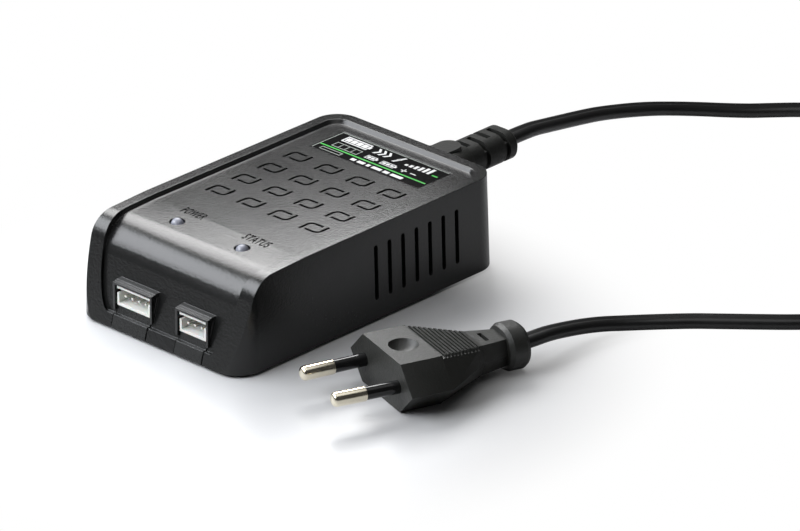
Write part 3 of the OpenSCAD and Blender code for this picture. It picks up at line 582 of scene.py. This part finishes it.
def coil_points():
    """Turns of the stowed coil, inwards in the lower layer and back outwards in the upper."""
    down = (COIL_TURNS - COIL_CLIMB) / 2
    points = []
    for i in range(int(COIL_TURNS * COIL_POINTS) + 1):
        turn = i / COIL_POINTS
        inward = min(turn, down) - max(0.0, turn - down - COIL_CLIMB)
        radius = COIL_OUTER - COIL_PITCH * inward
        climb = min(1.0, max(0.0, (turn - down) / COIL_CLIMB))
        z = COIL_LOW + (COIL_HIGH - COIL_LOW) * climb * climb * (3 - 2 * climb)
        angle = math.radians(90 - 360 * turn)
        points.append((COIL_AT[0] + radius * math.cos(angle),
                       COIL_AT[1] + radius * math.sin(angle), z))
    return points


def cord_outline(width, thickness):
    """Two round lobes side by side with a shallow groove between, as points."""
    radius = thickness / 2
    side = width / 2 - radius
    outline = []
    for sign, start in ((1, -LOBE_REACH), (-1, 180 - LOBE_REACH)):
        for i in range(LOBE_POINTS):
            a = math.radians(start + i * 2 * LOBE_REACH / (LOBE_POINTS - 1))
            outline.append((sign * side + radius * math.cos(a), radius * math.sin(a)))
    return outline


def outline_object(corners):
    """A closed flat curve through the corners of the cord's outline."""
    outline = bpy.data.curves.new("cord_outline", "CURVE")
    outline.dimensions = "2D"
    ring = outline.splines.new("POLY")
    ring.points.add(len(corners) - 1)
    for point, (x, y) in zip(ring.points, corners):
        point.co = (x, y, 0.0, 1.0)
    ring.use_cyclic_u = True
    return bpy.data.objects.new("cord_outline", outline)


def edge_turn(place):
    """The angle by which the flat cord stands up at a place in metres."""
    upright = min(1.0, max(0.0, (place.z / MM - FLAT_BELOW) / EDGE_RISE))
    near_coil = (Vector(place[:2]) / MM - Vector(COIL_AT)).length < EDGE_REACH
    return math.radians(90) * upright * near_coil


def swept_cord(path, lead):
    """The flat cord along a path, in a bmesh."""
    outline = outline_object(cord_outline(lead.width, lead.thickness))
    line = bpy.data.curves.new("cord_line", "CURVE")
    line.dimensions = "3D"
    line.twist_mode = "Z_UP"
    line.bevel_mode = "OBJECT"
    line.bevel_object = outline
    line.use_fill_caps = True
    strand = line.splines.new("POLY")
    strand.points.add(len(path) - 1)
    for point, place in zip(strand.points, path):
        point.co = (*place, 1.0)
        point.tilt = edge_turn(place)
    swept = bpy.data.objects.new("cord_line", line)
    bpy.context.scene.collection.objects.link(swept)
    bpy.context.view_layer.update()
    evaluated = swept.evaluated_get(bpy.context.evaluated_depsgraph_get())
    bm = bmesh.new()
    bm.from_mesh(bpy.data.meshes.new_from_object(evaluated))
    bmesh.ops.remove_doubles(bm, verts=bm.verts, dist=CURVE_DOUBLES)
    bmesh.ops.recalc_face_normals(bm, faces=bm.faces)
    bpy.data.objects.remove(swept)
    bpy.data.objects.remove(outline)
    return bm


class CHARGER_OT_cord(bpy.types.Operator):
    """Lays the flat cord from the connector through the coil to the plug"""
    bl_idname = "charger.cord"
    bl_label = "Cord"

    def execute(self, context):
        lead = looks().lead
        route = smooth_path(ROUTE_UPPER + coil_points() + ROUTE_LOWER, ROUTE_STEP)
        path = [p * MM for p in route]
        sheath = moulded_finish("Cord sheath", lead.sheath, 0.36, grain=SPARK_GRAIN,
                                depth=FAINT)
        cord = finished_object("cord", swept_cord(path, lead), "mains_lead", sheath,
                               ("cord_upper", "cord_coil", "cord_lower"))
        dress(["cord_tie"], moulded_finish("Tie", (0.010, 0.010, 0.010), 0.45))
        return {"FINISHED"}


def panel_height(y):
    """Level of the sunken panel at a place along the length, in metres."""
    return PANEL_Z - max(0.0, FALL_START - y) * math.tan(math.radians(FALL))


def letter_cutter(text, centre_x, centre_y, width, height, depth):
    """A solid of upright condensed letters that stands through the panel's surface."""
    curve = bpy.data.curves.new("legend", "FONT")
    curve.body = text
    curve.size = LETTER_SIZE * height
    curve.offset = LETTER_STROKE * height
    curve.space_character = LETTER_SPACING
    curve.extrude = depth
    curve.resolution_u = 3
    words = bpy.data.objects.new("legend", curve)
    bpy.context.scene.collection.objects.link(words)
    bpy.context.view_layer.update()
    mesh = bpy.data.meshes.new_from_object(
        words.evaluated_get(bpy.context.evaluated_depsgraph_get()))
    bpy.data.objects.remove(words)
    xs = [v.co.x for v in mesh.vertices]
    ys = [v.co.y for v in mesh.vertices]
    fit = Matrix.Diagonal((width / (max(xs) - min(xs)), height / (max(ys) - min(ys)),
                           1.0, 1.0))
    middle = Vector((-(max(xs) + min(xs)) / 2, -(max(ys) + min(ys)) / 2, 0.0))
    fall = Matrix.Rotation(math.radians(FALL), 4, "X")
    mesh.transform(Matrix.Translation((centre_x, centre_y, panel_height(centre_y)))
                   @ fall @ fit @ Matrix.Translation(middle))
    return mesh


class CHARGER_OT_housing(bpy.types.Operator):
    """Dresses the cover, engraves its legends, and dresses the tray and its screws"""
    bl_idname = "charger.housing"
    bl_label = "Housing"

    def execute(self, context):
        housing = looks().housing
        plastic = moulded_finish("Cover plastic", housing.colour, housing.gloss,
                                 grain=SPARK_GRAIN, depth=0.000045,
                                 Specular_IOR_Level=0.42)
        cover = dressed_copy("cover", "top_cover", "charger", plastic, housing.edge)
        refill_flats(settle(cover).data)
        self.engrave_legends(cover, housing)
        mark_edges(cover.data, COVER_SHARP)
        even_shading(cover.data)
        self.paint_slot_shade(cover.data)
        tray_plastic = moulded_finish("Tray plastic", shade(housing.colour, 1.5),
                                      housing.gloss + 0.04)
        dressed_copy("tray", "base_tray", "charger", tray_plastic, housing.edge)
        dress(["case_screws"], metal_finish("Zinc plate", (0.42, 0.42, 0.40), 0.34))
        return {"FINISHED"}

    def engrave_legends(self, cover, housing):
        """Cuts the legends into the cover, with a matt finish and painted shade (a darker
        colour) on their walls and floor.
        """
        letters = bmesh.new()
        for text, x, y, width in LEGENDS:
            letters.from_mesh(letter_cutter(text, x * MM, y * MM, width * MM,
                                            housing.legend_height, housing.legend_depth))
        bmesh.ops.remove_doubles(letters, verts=letters.verts, dist=CURVE_DOUBLES)
        bmesh.ops.recalc_face_normals(letters, faces=letters.faces)
        mesh = bpy.data.meshes.new("legend_cutter")
        # Painted shade: the recess colour is 0.4 times the cover's, so the letters read dark
        mesh.materials.append(moulded_finish(
            "Recess plastic", shade(housing.colour, 0.4), 0.85, Specular_IOR_Level=0.1))
        letters.to_mesh(mesh)
        letters.free()
        cutter = bpy.data.objects.new("legend_cutter", mesh)
        bpy.context.scene.collection.objects.link(cutter)
        cut = cover.modifiers.new("Legends", "BOOLEAN")
        cut.operation = "DIFFERENCE"
        cut.solver = "EXACT"
        cut.object = cutter
        cut.material_mode = "TRANSFER"
        settle(cover)
        bpy.data.objects.remove(cutter)

    def paint_slot_shade(self, mesh):
        """Gives the walls of the panel's slots the legends' matt finish and their painted
        shade, a darker colour.
        """
        # Painted shade: the slot walls take the darker recess colour
        for face in mesh.polygons:
            x, y, z = face.center
            if (abs(x) < SLOTS_HALF * MM and SLOTS_NEAR * MM < y < SLOTS_FAR * MM
                    and z > SLOTS_LOW * MM and face.normal.z < SLOTS_UP):
                face.material_index = 1


def block(bm, low, high):
    """A box between two corners."""
    low, high = Vector(low), Vector(high)
    bmesh.ops.create_cube(bm, size=1.0, matrix=Matrix.Translation((low + high) / 2)
                          @ Matrix.Diagonal((*(high - low), 1.0)))


def bar(bm, x0, y0, x1, y1, lean=0.0):
    """A thin printed rectangle, or a painted highlight line, on the label, in millimetres, its
    top moved by a lean.
    """
    before = set(bm.verts)
    block(bm, (x0 * MM, y0 * MM, PANEL_Z - PRINT_UNDER),
          (x1 * MM, y1 * MM, PANEL_Z + PRINT_OVER))
    for vertex in set(bm.verts) - before:
        vertex.co.x += lean * MM * (vertex.co.y - y0 * MM) / ((y1 - y0) * MM)


def outline_of(bm, x0, y0, x1, y1, line):
    """The outline of a rectangle, made of four bars."""
    bar(bm, x0, y0, x1, y0 + line)
    bar(bm, x0, y1 - line, x1, y1)
    bar(bm, x0, y0 + line, x0 + line, y1 - line)
    bar(bm, x1 - line, y0 + line, x1, y1 - line)


def battery(bm, x, y, width, height, cells, line):
    """A lying battery: its outline, its pole and its filled cells."""
    outline_of(bm, x, y, x + width, y + height, line)
    bar(bm, x + width, y + 0.3 * height, x + width + 0.6, y + 0.7 * height)
    pitch = (width - 2 * line - CELL_GAP) / cells
    for i in range(cells):
        left = x + line + CELL_GAP + i * pitch
        bar(bm, left, y + line + CELL_GAP, left + pitch - CELL_GAP,
            y + height - line - CELL_GAP)


def chevron(bm, x, y, width, height, line):
    """An arrow head that points along the label."""
    bar(bm, x, y, x + line, y + height / 2, width - line)
    bar(bm, x + width - line, y + height / 2, x + width, y + height, line - width)


def spark(bm, x, y, width, height, line):
    """A jagged bolt of two leaning bars."""
    for step, low, high in ((0.0, 0.0, 0.6), (0.5, 0.4, 1.0)):
        bar(bm, x + step, y + low * height, x + step + line, y + high * height, width / 2)


class CHARGER_OT_label(bpy.types.Operator):
    """Makes the label's film, its printed stripe, pictograms and outlines, and a painted
    highlight along its far and left edge
    """
    bl_idname = "charger.label"
    bl_label = "Label"

    def execute(self, context):
        label = looks().label
        film = Finish("Label film", Roughness=0.12, Specular_IOR_Level=0.2)
        place = film.place()
        film.set("Base Color", place.noise(300.0).blend(shade(label.field, 0.8),
                                                        shade(label.field, 1.3)))
        film.bump(place.noise(500.0), FAINT)
        dressed_copy("label", "label_film", "charger", film.material, LABEL_EDGE)
        self.print_piece("label_stripe", self.stripe(), label.stripe)
        self.print_piece("label_icons", self.icons(), label.print)
        self.print_piece("label_outlines", self.outlines(), label.outline)
        return {"FINISHED"}

    def print_piece(self, name, bm, colour):
        """One colour of the print, or of the painted highlight along the edges, as a thin
        layer on the film.
        """
        ink = moulded_finish(name.replace("_", " "), colour, 0.3, grain=1800.0,
                             depth=0.000002, spread=0.06)
        finished_object(name, bm, "charger", ink)

    def stripe(self):
        """A line across the label's middle, and a dash beside its far row."""
        bm = bmesh.new()
        bar(bm, -19.4, STRIPE_ROW, 19.6, STRIPE_ROW + 0.55)
        bar(bm, 17.2, FAR_ROW - 0.1, 19.2, FAR_ROW + 0.5)
        return bm

    def icons(self):
        """Battery gauges, chevrons, a spark, plus and minus, and level bars."""
        bm = bmesh.new()
        battery(bm, -16.6, FAR_ROW - 0.1, 9.2, 3.4, 4, BROAD_LINE)
        for i in range(3):
            chevron(bm, -5.0 + i * 1.9, FAR_ROW, 1.9, 3.2, HEAVY_LINE)
        spark(bm, 2.6, FAR_ROW - 0.4, 2.6, 3.8, HEAVY_LINE)
        for i in range(6):
            bar(bm, 7.0 + i * 1.6, FAR_ROW, 8.0 + i * 1.6, FAR_ROW + 0.9 + i * 0.48)
        for x, width, cells in ((-4.4, 3.6, 2), (1.2, 5.0, 3)):
            battery(bm, x, MIDDLE_ROW, width, 2.0, cells, THIN_LINE)
        bar(bm, 8.6, MIDDLE_ROW + 0.8, 10.6, MIDDLE_ROW + 1.2)
        bar(bm, 9.4, MIDDLE_ROW, 9.8, MIDDLE_ROW + 2.0)
        bar(bm, 12.0, MIDDLE_ROW + 0.8, 14.0, MIDDLE_ROW + 1.2)
        for x, width in ((-6.2, 1.6), (-3.8, 2.6), (-0.4, 1.2), (1.6, 3.4), (5.8, 2.0),
                         (8.6, 4.2)):
            bar(bm, x, NEAR_ROW, x + width, NEAR_ROW + 1.3)
        return bm

    def outlines(self):
        """Thin outlines of battery packs, and a painted highlight line along the label's far
        and left edge.
        """
        bm = bmesh.new()
        left, right = LABEL_LOW.x / MM + EDGE_HIGHLIGHT_INSET, LABEL_HIGH.x / MM - EDGE_HIGHLIGHT_INSET
        near, far = LABEL_LOW.y / MM + EDGE_HIGHLIGHT_INSET, LABEL_HIGH.y / MM - EDGE_HIGHLIGHT_INSET
        # Painted highlight: grey lines where the label's far and left edges catch the light
        bar(bm, left, far - THIN_LINE, right, far)
        bar(bm, left, near, left + THIN_LINE, far - THIN_LINE)
        outline_of(bm, -16.4, MIDDLE_ROW - 0.3, -7.0, MIDDLE_ROW + 2.5, THIN_LINE)
        for x in (-14.0, -11.7, -9.4):
            bar(bm, x - 0.12, MIDDLE_ROW - 0.1, x + 0.12, MIDDLE_ROW + 2.3)
        outline_of(bm, -17.6, NEAR_ROW - 0.1, -10.0, NEAR_ROW + 1.5, THIN_LINE)
        return bm


class CHARGER_OT_lamps(bpy.types.Operator):
    """Dresses the two clear indicator lamps and their leads"""
    bl_idname = "charger.lamps"
    bl_label = "Indicator lamps"

    def execute(self, context):
        clear = Finish("Lamp lens", Roughness=0.2, IOR=1.5, Transmission_Weight=0.55)
        place = clear.place()
        clear.set("Base Color", place.noise(1500.0).blend((0.30, 0.31, 0.36, 1.0),
                                                          (0.56, 0.58, 0.68, 1.0)))
        clear.bump(place.noise(2400.0), 0.00006)
        dress(["power_lamp", "status_lamp"], clear.material)
        dress(["lamp_leads"], metal_finish("Tinned lead", (0.62, 0.62, 0.60), 0.3))
        return {"FINISHED"}


class CHARGER_OT_sockets(bpy.types.Operator):
    """Dresses the two balance sockets and their contacts"""
    bl_idname = "charger.sockets"
    bl_label = "Balance sockets"

    def execute(self, context):
        nylon = moulded_finish("White nylon", (0.60, 0.60, 0.57), 0.42, grain=1500.0,
                               depth=0.00001, spread=0.05, Subsurface_Weight=0.15,
                               Subsurface_Scale=0.001)
        for count in (4, 3):
            dressed_copy(f"socket_shell_{count}", f"balance_socket_{count}", "charger", nylon,
                         SOCKET_EDGE)
        dress(["balance_contacts_4", "balance_contacts_3"],
              metal_finish("Tinned contact", (0.72, 0.71, 0.66), 0.26))
        return {"FINISHED"}


class CHARGER_OT_inlet(bpy.types.Operator):
    """Dresses the mains inlet with its pins and wires"""
    bl_idname = "charger.inlet"
    bl_label = "Mains inlet"

    def execute(self, context):
        dressed_copy("inlet", "mains_inlet", "charger",
                     moulded_finish("Inlet plastic", (0.012, 0.012, 0.013), 0.36), INLET_EDGE)
        dress(["inlet_pins"], metal_finish("Inlet pin nickel", (0.66, 0.65, 0.60), 0.2))
        dress(["inlet_wires"], moulded_finish("Wire sleeve", (0.20, 0.04, 0.02), 0.42))
        return {"FINISHED"}


class CHARGER_OT_board(bpy.types.Operator):
    """Dresses the circuit board and the parts on it"""
    bl_idname = "charger.board"
    bl_label = "Circuit board"

    def execute(self, context):
        mask = Finish("Solder mask", Coat_Weight=0.4)
        place = mask.place()
        tracks = place.node("ShaderNodeTexVoronoi", {"feature": "DISTANCE_TO_EDGE"},
                            {"Vector": place, "Scale": 260.0})
        mask.set("Base Color", tracks.steps(0.10, 0.14).blend((0.020, 0.105, 0.035, 1.0),
                                                              (0.030, 0.165, 0.055, 1.0)))
        mask.set("Roughness", place.noise(700.0) * 0.2 + 0.25)
        mask.bump(tracks.steps(0.08, 0.16), 0.00003)
        dress(["circuit_board"], mask.material)
        plain = (
            ("Fuse cap", ("line_fuse",), (0.26, 0.04, 0.02), 0.35),
            ("Ferrite", ("filter_choke_core", "transformer_core"), (0.05, 0.052, 0.054), 0.6),
            ("Film capacitor", ("filter_capacitor",), (0.66, 0.42, 0.04), 0.4),
            ("Chip package", ("bridge_rectifier", "switching_transistor", "output_diode",
                              "charge_controller"), (0.012, 0.012, 0.013), 0.5),
            ("Capacitor sleeve", ("bulk_capacitor", "output_capacitors"),
             (0.015, 0.025, 0.06), 0.3),
            ("Bobbin", ("transformer_bobbin",), (0.02, 0.02, 0.02), 0.5),
            ("Winding tape", ("transformer_winding",), (0.66, 0.48, 0.06), 0.35),
            ("Disc capacitor", ("safety_capacitor",), (0.04, 0.16, 0.38), 0.4),
            ("Coupler package", ("optocoupler",), (0.68, 0.68, 0.63), 0.5),
            ("Resistor", ("balance_resistors",), (0.28, 0.44, 0.55), 0.4),
        )
        for name, nodes, colour, roughness in plain:
            dress(nodes, moulded_finish(name, colour, roughness))
        dress(["filter_choke_windings"], metal_finish("Enamelled copper", (0.70, 0.30, 0.10),
                                                      0.28))
        dress(["heat_sink"], metal_finish("Mill aluminium", (0.62, 0.63, 0.64), 0.38,
                                          stretch=(1.0, 1.0, 0.1)))
        return {"FINISHED"}


class CHARGER_OT_connector(bpy.types.Operator):
    """Dresses the detachable connector with its slotted relief"""
    bl_idname = "charger.connector"
    bl_label = "Lead connector"

    def execute(self, context):
        plastic = moulded_finish("Connector plastic", shade(looks().lead.moulding, 0.55), 0.56,
                                 grain=SPARK_GRAIN, depth=MOULDED, Specular_IOR_Level=0.35)
        dressed_copy("connector", "cord_connector", "mains_lead", plastic)
        dress(["connector_contacts"], metal_finish("Spring brass", (0.72, 0.52, 0.22), 0.3))
        return {"FINISHED"}


class CHARGER_OT_plug(bpy.types.Operator):
    """Dresses the flat mains plug, its sleeves and pins"""
    bl_idname = "charger.plug"
    bl_label = "Mains plug"

    def execute(self, context):
        plastic = moulded_finish("Plug plastic", looks().lead.moulding, 0.46,
                                 grain=SPARK_GRAIN, depth=MOULDED)
        moulding = dressed_copy("plug_moulding", "plug_body", "mains_lead", plastic)
        even_shading(moulding.data)
        dressed_copy("pin_sleeves", "plug_sleeves", "mains_lead",
                     moulded_finish("Pin sleeve", (0.006, 0.006, 0.006), 0.18, depth=FAINT),
                     PIN_EDGE)
        dressed_copy("pin_metal", "plug_pins", "mains_lead",
                     metal_finish("Bright nickel", (0.80, 0.74, 0.60), 0.2, grain=400.0),
                     PIN_EDGE)
        return {"FINISHED"}


def soft_lamp(name, power, place, target, size, colour):
    """A rectangular soft lamp that faces a point."""
    light = bpy.data.lights.new(name, "AREA")
    light.shape = "RECTANGLE"
    light.size, light.size_y = size
    light.energy = power
    light.color = colour
    lamp = bpy.data.objects.new(name, light)
    lamp.location = place
    lamp.rotation_mode = "QUATERNION"
    lamp.rotation_quaternion = (Vector(target) - Vector(place)).to_track_quat("-Z", "Y")
    lamp.visible_camera = False
    bpy.context.scene.collection.objects.link(lamp)


class CHARGER_OT_stage(bpy.types.Operator):
    """Sets the camera, the pale floor, the soft lamps and the surroundings"""
    bl_idname = "charger.stage"
    bl_label = "Camera, floor and lamps"

    def execute(self, context):
        stage = looks().stage
        scene = context.scene
        self.place_camera(scene)
        self.lay_floor(scene, stage)
        self.fill_world(scene, stage)
        for name, lamp in LAMPS.items():
            soft_lamp(name, getattr(stage, name), *lamp)
        scene.view_settings.view_transform = "Standard"
        return {"FINISHED"}

    def place_camera(self, scene):
        """Sets the camera where the picture was taken from."""
        data = bpy.data.cameras.new("camera")
        data.sensor_width = CAMERA_SENSOR
        data.lens = CAMERA_LENS
        data.clip_start = 0.05
        data.clip_end = 20.0
        camera = bpy.data.objects.new("camera", data)
        azimuth, elevation, roll = (math.radians(a) for a in CAMERA_TURN)
        back = Vector((math.sin(azimuth) * math.cos(elevation),
                       -math.cos(azimuth) * math.cos(elevation), math.sin(elevation)))
        right = Vector((math.cos(azimuth), math.sin(azimuth), 0.0))
        up = back.cross(right)
        turned_right = right * math.cos(roll) + up * math.sin(roll)
        turned_up = up * math.cos(roll) - right * math.sin(roll)
        basis = Matrix((turned_right, turned_up, back)).transposed()
        camera.matrix_world = Matrix.Translation(CAMERA_AT) @ basis.to_4x4()
        scene.collection.objects.link(camera)
        scene.camera = camera

    def lay_floor(self, scene, stage):
        """Lays the pale floor, which turns to white away from the object's shadow."""
        bm = bmesh.new()
        bmesh.ops.create_grid(bm, x_segments=8, y_segments=8, size=FLOOR_HALF)
        mesh = bpy.data.meshes.new("floor")
        bm.to_mesh(mesh)
        bm.free()
        floor = bpy.data.objects.new("floor", mesh)
        scene.collection.objects.link(floor)
        paper = Finish("Floor", Roughness=0.32, Specular_IOR_Level=0.35)
        paper.set("Base Color", (*stage.floor_colour, 1.0))
        place = paper.place()
        distance = place.node("ShaderNodeVectorMath", {"operation": "DISTANCE"},
                              {0: place, 1: SHADOW_AT}, 1)
        seen = paper.start.ray("Is Camera Ray")
        mirrored = paper.start.ray("Is Glossy Ray", "Is Transmission Ray")
        backdrop = (distance.steps(*WHITE_SEEN) * seen
                    + distance.steps(*WHITE_MIRRORED) * mirrored)
        white = paper.start.node("ShaderNodeEmission", {}, {"Color": (1.0, 1.0, 1.0, 1.0)})
        lit = Wire(paper.tree, paper.shader.outputs[0])
        mixed = paper.start.node("ShaderNodeMixShader", {},
                                 {0: backdrop, 1: lit, 2: white})
        output = paper.tree.nodes["Material Output"]
        paper.tree.links.new(mixed.socket, output.inputs["Surface"])
        mesh.materials.append(paper.material)

    def fill_world(self, scene, stage):
        """Gives the surroundings a faint even light."""
        world = bpy.data.worlds.new("surroundings")
        world.use_nodes = True
        scene.world = world
        background = world.node_tree.nodes["Background"]
        background.inputs["Color"].default_value = (1.0, 1.0, 1.0, 1.0)
        background.inputs["Strength"].default_value = stage.room


class CHARGER_PT_panel(bpy.types.Panel):
    """Lists the charger's pieces and their settings"""
    bl_idname = "CHARGER_PT_panel"
    bl_label = "Battery charger"
    bl_space_type = "VIEW_3D"
    bl_region_type = "UI"
    bl_category = "Charger"

    def draw(self, context):
        settings = context.scene.charger
        for group in ("housing", "label", "lead", "stage"):
            box = self.layout.box()
            box.label(text=group.capitalize())
            looks_of = getattr(settings, group)
            for name in looks_of.bl_rna.properties.keys():
                if name not in ("rna_type", "name"):
                    box.prop(looks_of, name)
        for operator in OPERATORS:
            self.layout.operator(operator.bl_idname)


# The cord comes after the connector and the plug, because it names the pieces on it
OPERATORS = (CHARGER_OT_stage, CHARGER_OT_connector, CHARGER_OT_plug, CHARGER_OT_cord,
             CHARGER_OT_housing, CHARGER_OT_label, CHARGER_OT_lamps, CHARGER_OT_sockets,
             CHARGER_OT_inlet, CHARGER_OT_board)
CLASSES = (HousingLooks, LabelLooks, LeadLooks, StageLooks, ChargerLooks, *OPERATORS,
           CHARGER_PT_panel)


def register():
    for cls in CLASSES:
        bpy.utils.register_class(cls)
    bpy.types.Scene.charger = bpy.props.PointerProperty(type=ChargerLooks)


def unregister():
    del bpy.types.Scene.charger
    for cls in reversed(CLASSES):
        bpy.utils.unregister_class(cls)


def main():
    register()
    for operator in OPERATORS:
        family, name = operator.bl_idname.split(".")
        getattr(getattr(bpy.ops, family), name)()


if __name__ == "__main__":
    main()
